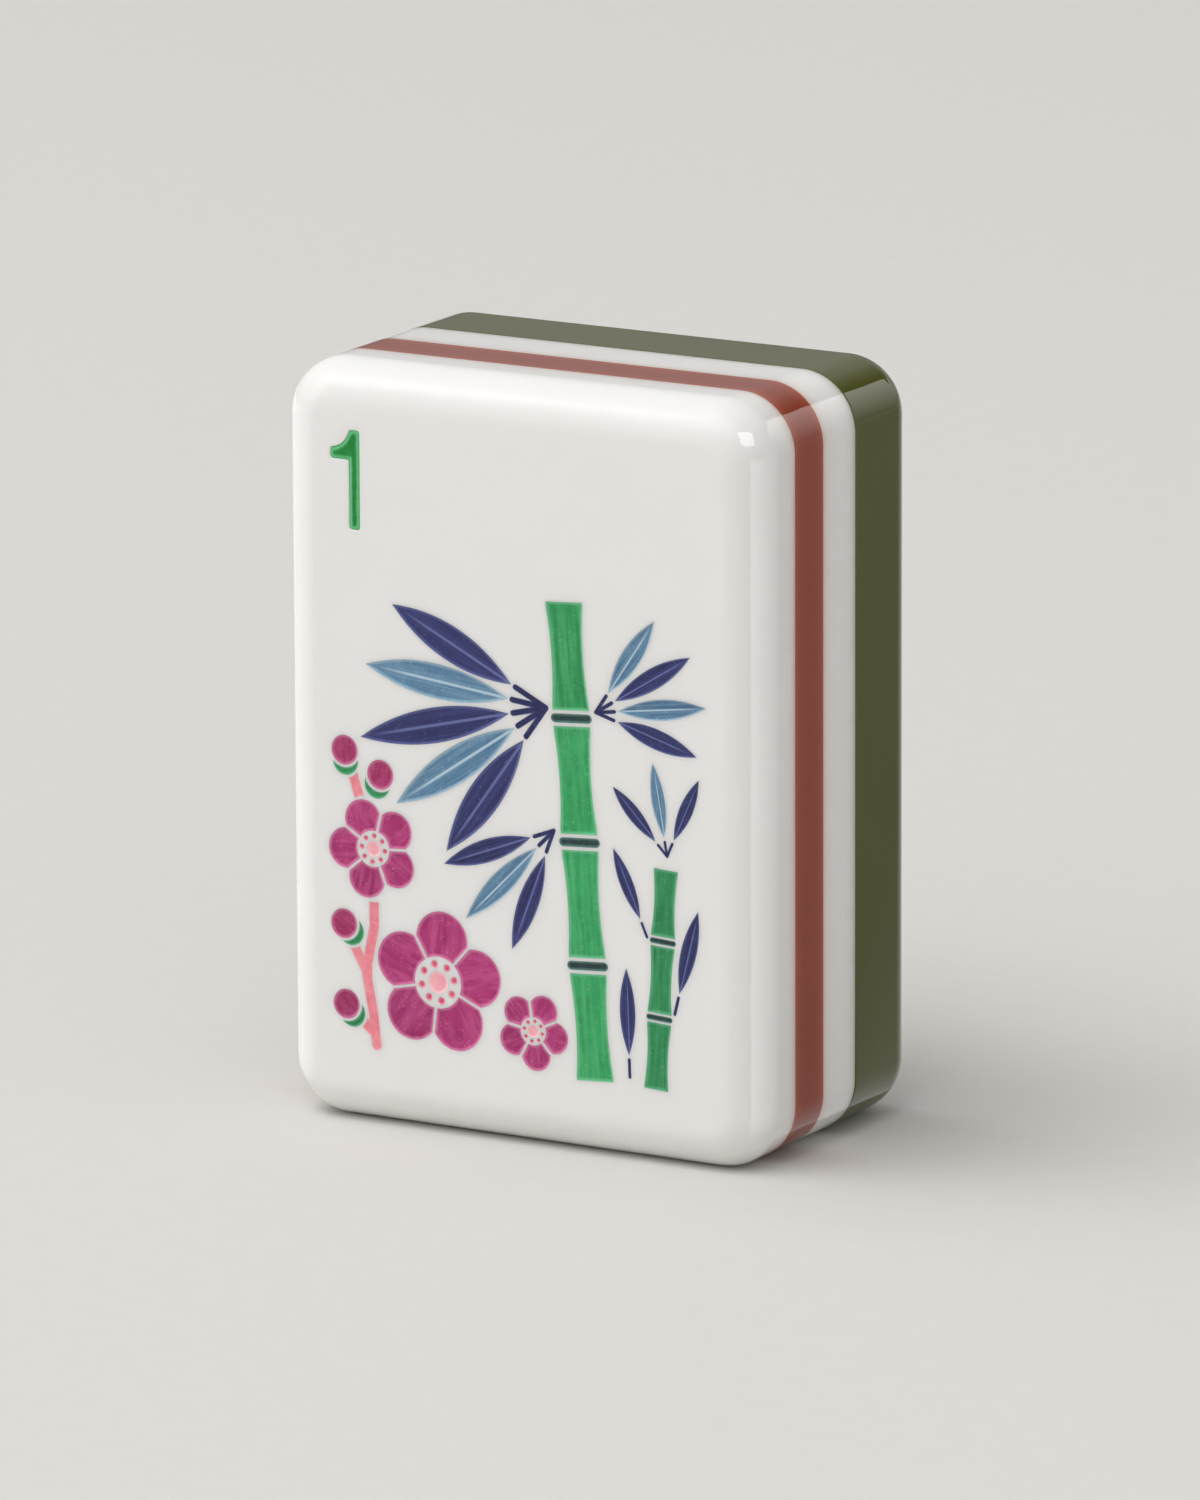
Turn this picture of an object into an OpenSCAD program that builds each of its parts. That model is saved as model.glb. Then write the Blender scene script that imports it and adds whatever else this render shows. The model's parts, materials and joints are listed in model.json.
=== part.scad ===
// Laminated game tile that stands on its lower edge: a thick white face block, a rust stripe, a white
// band and an olive back, bonded flat to flat. An index numeral and a picture of bamboo and blossom are
// engraved in the face, and each engraved shape is filled with enamel.
// Millimetres. The origin is under the middle of the tile, on the surface that it stands on.
// +Z is up, and the engraved face looks along -Y.

/* [Tile] */
// Height of the tile
tile_h = 30; // [24:0.1:42]
// Width of the tile
tile_w = 21.2; // [17:0.1:30]
// Radius of the four corners, seen from the face
corner_r = 2.3; // [1:0.05:4]
// Radius of the round along the edge of the face
face_edge_r = 1.7; // [0.5:0.05:2.6]
// Radius of the round along the edge of the back
back_edge_r = 1.7; // [0.5:0.05:2.6]

/* [Layers] */
// Thickness of the white face block
face_t = 2.9; // [2:0.05:6]
// Thickness of the rust stripe
stripe_t = 2.2; // [0.8:0.05:4]
// Thickness of the white band
band_t = 2.5; // [0.8:0.05:4]
// Thickness of the olive back
back_t = 5; // [3:0.05:8]
// Radius of the eased edge of the back where it meets the white band
seam_ease_r = 0.12; // [0.04:0.01:0.4]

/* [Engraving] */
// Depth of the engraved pockets
engrave_depth = 0.35; // [0.2:0.01:0.8]
// How far the enamel lies below the face
fill_sink = 0.04; // [0.01:0.01:0.12]
// Gap between the enamel and the wall of its pocket
fill_gap = 0.02; // [0.01:0.005:0.03]
// Width of the white land left between two neighbouring shapes
fill_land = 0.14; // [0.1:0.01:0.2]

/* [Numeral] */
// Height of the numeral
numeral_h = 3.85; // [2.5:0.05:5]
// Width of the numeral's stem
numeral_stem_w = 0.44; // [0.3:0.01:0.8]
// How far the flag reaches out from the stem
flag_reach = 0.83; // [0.4:0.01:1.5]
// Height of the flag's free end
flag_end_h = 0.41; // [0.25:0.01:0.7]
// Height that the flag's curved top climbs to the head of the stem
flag_rise = 0.72; // [0.4:0.01:1.2]
// Gap from the round at the side of the face to the flag's end
numeral_side_gap = 0.73; // [0.2:0.01:2]
// Gap from the round at the top of the face to the head of the numeral
numeral_top_gap = 0.9; // [0.2:0.01:2]

/* [Picture] */
// Gap between the picture and the round at each side of the face
picture_side_gap = 0.5; // [0.2:0.05:3]
// Gap between the picture's field and the round at the foot of the face
picture_foot_gap = 1.1; // [0.2:0.05:3]
// Gap between the picture's field and the foot of the numeral
picture_head_gap = 1.4; // [0.3:0.05:3]

/* [Hidden] */
$fn = 360;

// How far a cut runs past the face that it opens
cut_overrun = 0.5;
// Largest share of a corner or of a layer that the round along its edge takes up
round_limit_share = 0.95;
face_round = min(face_edge_r, round_limit_share * min(corner_r, face_t));
back_round = min(back_edge_r, round_limit_share * min(corner_r, back_t - seam_ease_r));

// Front planes of the layers, with the tile centred over the origin
tile_d = face_t + stripe_t + band_t + back_t;
face_y = -tile_d / 2;
stripe_y = face_y + face_t;
band_y = stripe_y + stripe_t;
back_y = band_y + band_t;

// Numeral: its lower left corner, the foot of its flag and the hollow arc above the flag
numeral_x = face_round + numeral_side_gap - tile_w / 2;
numeral_z = tile_h - face_round - numeral_top_gap - numeral_h;
flag_foot = numeral_h - flag_rise - flag_end_h;
flag_arc_r = (flag_reach * flag_reach + flag_rise * flag_rise) / (2 * flag_rise);

// Picture: it is as wide as its field allows, and is centred in the field under the numeral.
// Its shapes are shares of its width, counted from the middle of its foot.
picture_tall_share = 1.12;
field_w = tile_w - 2 * (face_round + picture_side_gap);
field_foot = face_round + picture_foot_gap;
field_h = numeral_z - picture_head_gap - field_foot;
picture_w = min(field_w, field_h / picture_tall_share);
picture_z = field_foot + (field_h - picture_w * picture_tall_share) / 2;

// Canes: the middle of the foot, the lean from upright, and the joints with rings between them
tall_cane_foot_share = [0.205, 0];
tall_cane_lean = 4;
tall_cane_joints = 4;
tall_cane_joint_share = 0.248;
tall_cane_wide_share = 0.094;
short_cane_foot_share = [0.365, 0];
short_cane_lean = -3;
short_cane_joints = 3;
short_cane_joint_share = 0.155;
short_cane_wide_share = 0.06;
// Space for a ring between two joints, and a ring's height, both shares of the cane's width
ring_space_share = 0.42;
ring_tall_share = 0.2;
// Width of a ring, the hollow of a joint's sides and the straight lip at a joint's ends, likewise
ring_wide_share = 1.12;
joint_hollow_share = 0.07;
joint_lip_share = 0.12;

// Sprays of leaves: the point that each fans out from, its heading, the angle between its leaves,
// how many leaves it has and the length of its longest leaf
spray_base_shares = [
    [0.08, 0.858], [0.099, 0.574], [0.21, 0.862], [0.395, 0.548],
    [0.414, 0.182], [0.342, 0.354], [0.296, 0.02]
];
spray_headings = [194, 225, 20, 100, 76, 114, 92];
spray_fans = [20, 24, 24, 34, 0, 0, 0];
spray_leaves = [5, 3, 4, 3, 1, 1, 1];
spray_length_shares = [0.4, 0.26, 0.235, 0.17, 0.2, 0.17, 0.2];
// Width of a leaf, and where it starts along its ray, as shares of the spray's length
leaf_wide_share = 0.2;
leaf_start_share = 0.26;
// Share by which a leaf is shorter than the next one towards the middle of its spray
leaf_shorter_share = 0.07;
// Width of a stalk, as a share of the spray's length: the stalks of a spray meet at its base
stalk_wide_share = 0.03;

// Blossoms: their middles, radii and turns
blossom_place_shares = [[-0.21, 0.18], [-0.38, 0.475], [0.042, 0.096]];
blossom_radius_shares = [0.168, 0.118, 0.092];
blossom_turns = [12, 40, -10];
petals = 5;
// Middle, radius and start of a petal, and the heart and its dots, as shares of the blossom's radius
petal_middle_share = 0.6;
petal_radius_share = 0.4;
petal_start_share = 0.37;
heart_share = 0.15;
stamens = 8;
stamen_ring_share = 0.26;
stamen_radius_share = 0.05;

// Buds: their middles, radius and the way each points
bud_place_shares = [[-0.455, 0.7], [-0.36, 0.652], [-0.46, 0.29], [-0.455, 0.1]];
bud_headings = [95, 70, 140, 130];
bud_radius_share = 0.034;
// Radius of a bud's cup and how far its middle is set back, as shares of the bud's radius
cup_radius_share = 0.95;
cup_back_share = 0.75;

// Twigs: straight runs between two points, all of one width
twig_run_shares = [
    [[-0.375, 0.012], [-0.384, 0.09]], [[-0.384, 0.09], [-0.402, 0.185]],
    [[-0.402, 0.185], [-0.379, 0.29]], [[-0.379, 0.29], [-0.38, 0.475]], [[-0.38, 0.475], [-0.45, 0.7]],
    [[-0.402, 0.185], [-0.21, 0.18]], [[-0.402, 0.185], [-0.46, 0.29]], [[-0.38, 0.04], [-0.455, 0.1]]
];
twig_wide_share = 0.024;

// Quarter disc that rounds an outer corner: it fills the space between x and y and the arc
module corner_round(round_r) {
    intersection() {
        circle(round_r);
        square(2 * round_r);
    }
}

// Edge of a layer in section: reach is measured outwards, and depth from its front plane
module edge_section(reach, depth, front_r, rear_r) {
    translate([0, front_r]) square([reach, depth - front_r - rear_r]);
    if (front_r > 0) {
        square([reach - front_r, front_r]);
        translate([reach - front_r, front_r]) mirror([0, 1]) corner_round(front_r);
    }
    if (rear_r > 0) {
        translate([0, depth - rear_r]) square([reach - rear_r, rear_r]);
        translate([reach - rear_r, depth - rear_r]) corner_round(rear_r);
    }
}

// One bonded layer: a slab between the corners, a bar down each side and a quarter post in each corner
module layer(front_y, depth, front_r = 0, rear_r = 0) {
    side_x = tile_w / 2 - corner_r;
    side_z = tile_h / 2 - corner_r;
    translate([0, front_y, tile_h / 2]) rotate([-90, 0, 0]) {
        translate([-side_x, 0, 0]) rotate([90, 0, 90]) linear_extrude(2 * side_x) {
            edge_section(tile_h / 2, depth, front_r, rear_r);
            mirror([1, 0]) edge_section(tile_h / 2, depth, front_r, rear_r);
        }
        for (turn = [0, 180]) {
            rotate(turn) translate([side_x, side_z, 0]) rotate([90, 0, 0]) linear_extrude(2 * side_z)
                edge_section(corner_r, depth, front_r, rear_r);
            rotate(turn) translate([side_x, side_z, 0]) rotate_extrude(angle = 90)
                edge_section(corner_r, depth, front_r, rear_r);
            rotate(turn) translate([-side_x, side_z, 0]) rotate(90) rotate_extrude(angle = 90)
                edge_section(corner_r, depth, front_r, rear_r);
        }
    }
}

// Enamel of a flat outline, seated on the floor of its pocket
module enamel() {
    translate([0, face_y + engrave_depth, 0]) rotate([90, 0, 0])
        linear_extrude(engrave_depth - fill_sink) children();
}

// Cutter of a flat outline, from the floor of its pocket out through the face
module cutter() {
    translate([0, face_y + engrave_depth, 0]) rotate([90, 0, 0])
        linear_extrude(engrave_depth + cut_overrun) children();
}

// Moves its children to a point of the picture, given in shares of the picture's width
module at_share(share) {
    translate([0, picture_z]) translate(picture_w * share) children();
}

// Pointed leaf along +X from the origin: where two equal circles cross
module leaf_outline(length, width, grow) {
    arc_r = (length * length + width * width) / (4 * width);
    intersection() {
        translate([length / 2, arc_r - width / 2]) circle(arc_r + grow);
        translate([length / 2, width / 2 - arc_r]) circle(arc_r + grow);
    }
}

// Straight stroke with round ends
module stroke_outline(from, to, width, grow) {
    run = to - from;
    translate(from) rotate(atan2(run.y, run.x)) {
        translate([0, -width / 2 - grow]) square([norm(run), width + 2 * grow]);
        circle(width / 2 + grow);
        translate([norm(run), 0]) circle(width / 2 + grow);
    }
}

module numeral_outline(grow) {
    translate([numeral_x, numeral_z]) {
        translate([flag_reach - grow, -grow]) square([numeral_stem_w + 2 * grow, numeral_h + 2 * grow]);
        difference() {
            translate([-grow, flag_foot - grow])
                square([flag_reach + numeral_stem_w / 2, numeral_h - flag_foot + 2 * grow]);
            translate([0, flag_foot + flag_end_h + flag_arc_r]) circle(flag_arc_r - grow);
            translate([-grow, flag_foot + flag_end_h + flag_arc_r])
                square([flag_reach, flag_arc_r]);
        }
    }
}

// Joints of a cane, one above another, with slightly hollow sides
module cane_outline(foot_share, lean, joints, joint_share, wide_share, grow) {
    tall = picture_w * joint_share;
    wide = picture_w * wide_share;
    hollow = wide * joint_hollow_share;
    hollow_half = tall / 2 - wide * joint_lip_share;
    hollow_r = (hollow_half * hollow_half + hollow * hollow) / (2 * hollow);
    at_share(foot_share) rotate(lean) for (i = [0 : joints - 1]) {
        translate([0, i * (tall + wide * ring_space_share)]) difference() {
            translate([-wide / 2 - grow, -grow]) square([wide + 2 * grow, tall + 2 * grow]);
            for (side = [-1, 1]) {
                translate([side * (wide / 2 - hollow + hollow_r), tall / 2]) circle(hollow_r - grow);
            }
        }
    }
}

// Rings between the joints of a cane: short bars with round ends
module ring_outline(foot_share, lean, joints, joint_share, wide_share, grow) {
    tall = picture_w * joint_share;
    wide = picture_w * wide_share;
    bar = wide * ring_tall_share;
    half = (wide * ring_wide_share - bar) / 2;
    at_share(foot_share) rotate(lean) for (i = [1 : joints - 1]) {
        up = i * tall + (i - 1 / 2) * wide * ring_space_share;
        stroke_outline([-half, up], [half, up], bar, grow);
    }
}

module tall_cane_outline(grow) {
    cane_outline(tall_cane_foot_share, tall_cane_lean, tall_cane_joints,
        tall_cane_joint_share, tall_cane_wide_share, grow);
}

module short_cane_outline(grow) {
    cane_outline(short_cane_foot_share, short_cane_lean, short_cane_joints,
        short_cane_joint_share, short_cane_wide_share, grow);
}

module cane_ring_outline(grow) {
    ring_outline(tall_cane_foot_share, tall_cane_lean, tall_cane_joints,
        tall_cane_joint_share, tall_cane_wide_share, grow);
    ring_outline(short_cane_foot_share, short_cane_lean, short_cane_joints,
        short_cane_joint_share, short_cane_wide_share, grow);
}

// Moves its children to the start of leaf i of spray s, with the leaf's ray along +X
module on_ray(s, i) {
    middle = (spray_leaves[s] - 1) / 2;
    at_share(spray_base_shares[s]) rotate(spray_headings[s] + (i - middle) * spray_fans[s]) children();
}

// Every second leaf of each spray, from the first given
module leaves_outline(first, grow) {
    for (s = [0 : len(spray_leaves) - 1]) {
        full = picture_w * spray_length_shares[s];
        middle = (spray_leaves[s] - 1) / 2;
        for (i = [first : 2 : spray_leaves[s] - 1]) {
            length = full * (1 - leaf_shorter_share * abs(i - middle));
            on_ray(s, i) translate([full * leaf_start_share, 0])
                leaf_outline(length, full * leaf_wide_share, grow);
        }
    }
}

module leaf_stalk_outline(grow) {
    for (s = [0 : len(spray_leaves) - 1]) {
        full = picture_w * spray_length_shares[s];
        wide = full * stalk_wide_share;
        stalk_end = full * leaf_start_share - fill_land - wide / 2;
        for (i = [0 : spray_leaves[s] - 1]) {
            on_ray(s, i) stroke_outline([0, 0], [stalk_end, 0], wide, grow);
        }
    }
}

// Moves its children to the middle of blossom b
module on_blossom(b) {
    at_share(blossom_place_shares[b]) rotate(blossom_turns[b]) children();
}

function blossom_r(b) = picture_w * blossom_radius_shares[b];

// Petals: discs around the middle, each kept inside its own sector and clear of the heart
module petal_outline(grow) {
    half_angle = 180 / petals;
    for (b = [0 : len(blossom_turns) - 1]) {
        full = blossom_r(b);
        tip = (fill_land / 2 - grow) / sin(half_angle);
        side = 2 * full * [cos(half_angle), sin(half_angle)];
        on_blossom(b) for (i = [0 : petals - 1]) rotate(i * 2 * half_angle) difference() {
            intersection() {
                translate([full * petal_middle_share, 0]) circle(full * petal_radius_share + grow);
                translate([tip, 0]) polygon([[0, 0], [side.x, -side.y], side]);
            }
            circle(full * petal_start_share - grow);
        }
    }
}

module petal_heart_outline(grow) {
    for (b = [0 : len(blossom_turns) - 1]) {
        on_blossom(b) circle(blossom_r(b) * heart_share + grow);
    }
}

module stamen_outline(grow) {
    for (b = [0 : len(blossom_turns) - 1]) {
        on_blossom(b) for (i = [0 : stamens - 1]) rotate(i * 360 / stamens)
            translate([blossom_r(b) * stamen_ring_share, 0]) circle(blossom_r(b) * stamen_radius_share + grow);
    }
}

// Moves its children to the middle of bud b, with the bud pointing along +X
module on_bud(b) {
    at_share(bud_place_shares[b]) rotate(bud_headings[b]) children();
}

module bud_outline(grow) {
    for (b = [0 : len(bud_headings) - 1]) {
        on_bud(b) circle(picture_w * bud_radius_share + grow);
    }
}

// Cups: discs set back behind the buds, cut clear of them
module sepal_outline(grow) {
    bud_r = picture_w * bud_radius_share;
    for (b = [0 : len(bud_headings) - 1]) {
        on_bud(b) difference() {
            translate([-bud_r * cup_back_share, 0]) circle(bud_r * cup_radius_share + grow);
            circle(bud_r + fill_land - grow);
        }
    }
}

// Twigs: strokes that stop clear of the blossoms, the buds and their cups
module twig_outline(grow) {
    bud_r = picture_w * bud_radius_share;
    difference() {
        for (run = twig_run_shares) {
            at_share([0, 0])
                stroke_outline(picture_w * run[0], picture_w * run[1], picture_w * twig_wide_share, grow);
        }
        for (b = [0 : len(blossom_turns) - 1]) {
            on_blossom(b) circle(blossom_r(b) + fill_land - grow);
        }
        for (b = [0 : len(bud_headings) - 1]) {
            on_bud(b) circle(bud_r + fill_land - grow);
            on_bud(b) translate([-bud_r * cup_back_share, 0])
                circle(bud_r * cup_radius_share + fill_land - grow);
        }
    }
}

module face_block() {
    color("whitesmoke") difference() {
        layer(face_y, face_t, front_r = face_round);
        cutter() {
            numeral_outline(fill_gap);
            tall_cane_outline(fill_gap);
            short_cane_outline(fill_gap);
            cane_ring_outline(fill_gap);
            leaves_outline(0, fill_gap);
            leaves_outline(1, fill_gap);
            leaf_stalk_outline(fill_gap);
            petal_outline(fill_gap);
            petal_heart_outline(fill_gap);
            stamen_outline(fill_gap);
            bud_outline(fill_gap);
            sepal_outline(fill_gap);
            twig_outline(fill_gap);
        }
    }
}

module rust_stripe() {
    color("sienna") layer(stripe_y, stripe_t);
}

module white_band() {
    color("whitesmoke") layer(band_y, band_t);
}

module green_back() {
    color("darkolivegreen") layer(back_y, back_t, front_r = seam_ease_r, rear_r = back_round);
}

module numeral_fill() {
    color("seagreen") enamel() numeral_outline(0);
}

module tall_cane_fill() {
    color("mediumseagreen") enamel() tall_cane_outline(0);
}

module short_cane_fill() {
    color("seagreen") enamel() short_cane_outline(0);
}

module cane_ring_fill() {
    color("darkslategray") enamel() cane_ring_outline(0);
}

module leaf_fill() {
    color("midnightblue") enamel() leaves_outline(0, 0);
}

module shade_leaf_fill() {
    color("slategray") enamel() leaves_outline(1, 0);
}

module leaf_stalk_fill() {
    color("darkslateblue") enamel() leaf_stalk_outline(0);
}

module petal_fill() {
    color("mediumvioletred") enamel() petal_outline(0);
}

module petal_heart_fill() {
    color("lightpink") enamel() petal_heart_outline(0);
}

module stamen_fill() {
    color("palevioletred") enamel() stamen_outline(0);
}

module bud_fill() {
    color("mediumvioletred") enamel() bud_outline(0);
}

module sepal_fill() {
    color("seagreen") enamel() sepal_outline(0);
}

module twig_fill() {
    color("lightcoral") enamel() twig_outline(0);
}

face_block();
rust_stripe();
white_band();
green_back();
numeral_fill();
tall_cane_fill();
short_cane_fill();
cane_ring_fill();
leaf_fill();
shade_leaf_fill();
leaf_stalk_fill();
petal_fill();
petal_heart_fill();
stamen_fill();
bud_fill();
sepal_fill();
twig_fill();
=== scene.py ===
import json
import math
import bmesh
import bpy
from mathutils import Matrix, Vector
from mathutils.geometry import delaunay_2d_cdt

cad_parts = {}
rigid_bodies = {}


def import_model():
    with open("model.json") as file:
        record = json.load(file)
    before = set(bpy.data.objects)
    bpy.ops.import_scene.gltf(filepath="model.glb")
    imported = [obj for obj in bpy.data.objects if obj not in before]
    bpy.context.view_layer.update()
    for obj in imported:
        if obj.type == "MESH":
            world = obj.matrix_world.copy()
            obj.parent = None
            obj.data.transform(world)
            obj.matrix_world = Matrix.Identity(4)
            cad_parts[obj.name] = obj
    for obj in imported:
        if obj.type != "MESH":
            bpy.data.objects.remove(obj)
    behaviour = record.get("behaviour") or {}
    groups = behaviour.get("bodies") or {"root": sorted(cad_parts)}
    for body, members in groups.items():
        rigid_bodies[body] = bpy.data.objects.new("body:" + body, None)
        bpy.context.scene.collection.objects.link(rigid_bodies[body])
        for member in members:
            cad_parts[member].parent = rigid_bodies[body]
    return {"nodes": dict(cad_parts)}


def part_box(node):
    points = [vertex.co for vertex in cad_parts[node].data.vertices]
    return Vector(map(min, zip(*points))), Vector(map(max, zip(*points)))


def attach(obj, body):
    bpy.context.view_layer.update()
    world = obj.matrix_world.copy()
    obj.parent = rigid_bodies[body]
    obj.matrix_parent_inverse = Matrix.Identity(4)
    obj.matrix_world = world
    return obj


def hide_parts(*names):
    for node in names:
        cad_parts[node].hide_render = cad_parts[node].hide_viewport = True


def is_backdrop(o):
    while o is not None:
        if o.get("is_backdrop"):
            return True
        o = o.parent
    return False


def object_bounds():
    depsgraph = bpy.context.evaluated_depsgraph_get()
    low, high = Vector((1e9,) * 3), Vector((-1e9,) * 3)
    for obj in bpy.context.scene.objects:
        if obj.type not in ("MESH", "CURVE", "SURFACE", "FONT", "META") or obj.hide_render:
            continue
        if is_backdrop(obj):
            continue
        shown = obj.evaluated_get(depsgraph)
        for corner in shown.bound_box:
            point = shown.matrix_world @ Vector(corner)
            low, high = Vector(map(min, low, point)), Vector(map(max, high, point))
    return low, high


# Laminated game tile: four glossy layers swept round one outline, and enamel in the engraved face.
# The face looks along -Y. Outlines are flat (x, z) points in metres, counter-clockwise from the front.

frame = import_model()
cadLow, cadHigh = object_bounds()
mm = 0.001
halfTurn = math.pi
print("frame loaded:", len(frame["nodes"]), "nodes")


# Node helpers

def addNode(tree, kind, inputs=None, **settings):
    node = tree.nodes.new(kind)
    for key, value in settings.items():
        setattr(node, key, value)
    for key, value in (inputs or {}).items():
        if isinstance(value, bpy.types.NodeSocket):
            tree.links.new(value, node.inputs[key])
        else:
            node.inputs[key].default_value = value
    return node


def calc(tree, operation, *values):
    return addNode(tree, "ShaderNodeMath", dict(enumerate(values)), operation=operation).outputs[0]


def newTree(name, inputs):
    tree = bpy.data.node_groups.new(name, "GeometryNodeTree")
    for label, kind in inputs:
        tree.interface.new_socket(label, in_out="INPUT", socket_type="NodeSocket" + kind)
    tree.interface.new_socket("Geometry", in_out="OUTPUT", socket_type="NodeSocketGeometry")
    return tree, tree.nodes.new("NodeGroupInput").outputs


def pointValue(tree, name, kind):
    return addNode(tree, "GeometryNodeInputNamedAttribute", {"Name": name}, data_type=kind).outputs[0]


def endTree(tree, geometry, material):
    whole = addNode(tree, "GeometryNodeRealizeInstances", {"Geometry": geometry}).outputs[0]
    painted = addNode(tree, "GeometryNodeSetMaterial", {"Geometry": whole, "Material": material})
    tree.links.new(painted.outputs[0], tree.nodes.new("NodeGroupOutput").inputs[0])


# Runs a tree on a new object and keeps the result as a plain mesh
def runTree(name, tree, values, points=None):
    piece = bpy.data.objects.new(name, points or bpy.data.meshes.new(name))
    bpy.context.scene.collection.objects.link(piece)
    modifier = piece.modifiers.new(tree.name, "NODES")
    modifier.node_group = tree
    for item in tree.interface.items_tree:
        if item.in_out == "INPUT" and item.name in values:
            modifier[item.identifier] = values[item.name]
    bpy.context.view_layer.update()
    evaluated = piece.evaluated_get(bpy.context.evaluated_depsgraph_get())
    result = bpy.data.meshes.new_from_object(evaluated)
    piece.modifiers.remove(modifier)
    piece.data = result
    result.name = name
    return piece


def smoothFaces(mesh, sharpAngle=40):
    mesh.polygons.foreach_set("use_smooth", [True] * len(mesh.polygons))
    mesh.set_sharp_from_angle(angle=math.radians(sharpAngle))


def seatPiece(piece, slot, *nodes):
    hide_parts(*nodes)
    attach(piece, "root")


# Outlines

def arcPoints(x, z, radius, start, end, steps):
    turns = [start + (end - start) * i / steps for i in range(steps + 1)]
    return [(x + radius * math.cos(t), z + radius * math.sin(t)) for t in turns]


def ringOutline(x, z, radius, steps):
    return arcPoints(x, z, radius, 0, 2 * halfTurn, steps)[:-1]


def placed(outline, x, z, turn, along=1, across=1):
    c, s = math.cos(turn), math.sin(turn)
    stretched = [(along * px, across * pz) for px, pz in outline]
    return [(x + px * c - pz * s, z + px * s + pz * c) for px, pz in stretched]


# Splits each edge into the given number of steps and softens the corners by averaging neighbours
def softOutline(outline, steps, rounds):
    points = []
    for i, count in enumerate(steps):
        start, end = Vector(outline[i]), Vector(outline[(i + 1) % len(outline)])
        points += [start.lerp(end, k / count) for k in range(count)]
    for _ in range(rounds):
        points = [(points[i - 2] + 2 * points[i - 1] + points[i]) / 4 for i in range(len(points))]
    return points


def strokeOutline(start, end, radius, steps=10):
    run = Vector(end) - Vector(start)
    right = arcPoints(run.length, 0, radius, -halfTurn / 2, halfTurn / 2, steps)
    left = arcPoints(0, 0, radius, halfTurn / 2, 3 * halfTurn / 2, steps)
    return placed(right + left, *start, math.atan2(run.y, run.x))


# Cuts a plane along closed outlines: points, triangles, the outlines that hold each triangle,
# and the outline points that each point comes from
def cutPlane(outlines):
    points, faces = [], []
    for outline in outlines:
        faces.append(list(range(len(points), len(points) + len(outline))))
        points += [Vector(p) / mm for p in outline]
    points, _, triangles, origins, _, owners = delaunay_2d_cdt(points, [], faces, 0, 1e-6)
    return [p * mm for p in points], triangles, [set(o) for o in owners], origins


# Sweeps an edge profile round the tile's outline: each layer is this rule with its own sizes
def layerTree():
    tree, given = newTree("layerSweep", [
        ("Width", "Float"), ("Height", "Float"), ("Corner Radius", "Float"), ("Front", "Float"),
        ("Depth", "Float"), ("Front Round", "Float"), ("Rear Round", "Float"), ("Margin", "Float"),
        ("Corner Steps", "Int"), ("Round Steps", "Int"), ("Material", "Material")])
    frontIn = calc(tree, "ADD", given["Front Round"], given["Margin"])
    rearIn = calc(tree, "ADD", given["Rear Round"], given["Margin"])
    profile = [
        (calc(tree, "MULTIPLY", frontIn, -1), 0), (0, 0), (0, frontIn),
        (0, calc(tree, "SUBTRACT", given["Depth"], rearIn)), (0, given["Depth"]),
        (calc(tree, "MULTIPLY", rearIn, -1), given["Depth"])]
    index = tree.nodes.new("GeometryNodeInputIndex").outputs[0]
    bracket = addNode(tree, "GeometryNodeIndexSwitch", {"Index": index}, data_type="VECTOR")
    while len(bracket.index_switch_items) < len(profile):
        bracket.index_switch_items.new()
    for i, (out, into) in enumerate(profile):
        point = addNode(tree, "ShaderNodeCombineXYZ", {"X": out, "Y": into}).outputs[0]
        tree.links.new(point, bracket.inputs[i + 1])
    line = addNode(tree, "GeometryNodeMeshLine", {"Count": len(profile)}).outputs[0]
    line = addNode(tree, "GeometryNodeSetPosition", {
        "Geometry": line, "Position": bracket.outputs[0]}).outputs[0]
    line = addNode(tree, "GeometryNodeMeshToCurve", {"Mesh": line}).outputs[0]
    atFront = calc(tree, "COMPARE", index, 1, 0.1)
    atRear = calc(tree, "COMPARE", index, len(profile) - 2, 0.1)
    radius = calc(tree, "MULTIPLY", atFront, given["Front Round"])
    radius = calc(tree, "MULTIPLY_ADD", atRear, given["Rear Round"], radius)
    edge = addNode(tree, "GeometryNodeFilletCurve", {
        "Curve": line, "Count": given["Round Steps"], "Radius": radius}, mode="POLY").outputs[0]
    path = addNode(tree, "GeometryNodeCurvePrimitiveQuadrilateral", {
        "Width": given["Width"], "Height": given["Height"]}).outputs[0]
    path = addNode(tree, "GeometryNodeFilletCurve", {
        "Curve": path, "Count": given["Corner Steps"],
        "Radius": given["Corner Radius"]}, mode="POLY").outputs[0]
    path = addNode(tree, "GeometryNodeSetCurveNormal", {"Curve": path}, mode="Z_UP").outputs[0]
    wall = addNode(tree, "GeometryNodeCurveToMesh", {"Curve": path, "Profile Curve": edge}).outputs[0]
    wall = addNode(tree, "GeometryNodeMergeByDistance", {
        "Geometry": wall, "Distance": tile["mergeWithin"]}).outputs[0]
    lift = calc(tree, "DIVIDE", given["Height"], 2)
    place = addNode(tree, "ShaderNodeCombineXYZ", {"Y": given["Front"], "Z": lift}).outputs[0]
    wall = addNode(tree, "GeometryNodeTransform", {
        "Geometry": wall, "Translation": place, "Rotation": (halfTurn / 2, 0, 0)}).outputs[0]
    endTree(tree, wall, given["Material"])
    return tree


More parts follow.
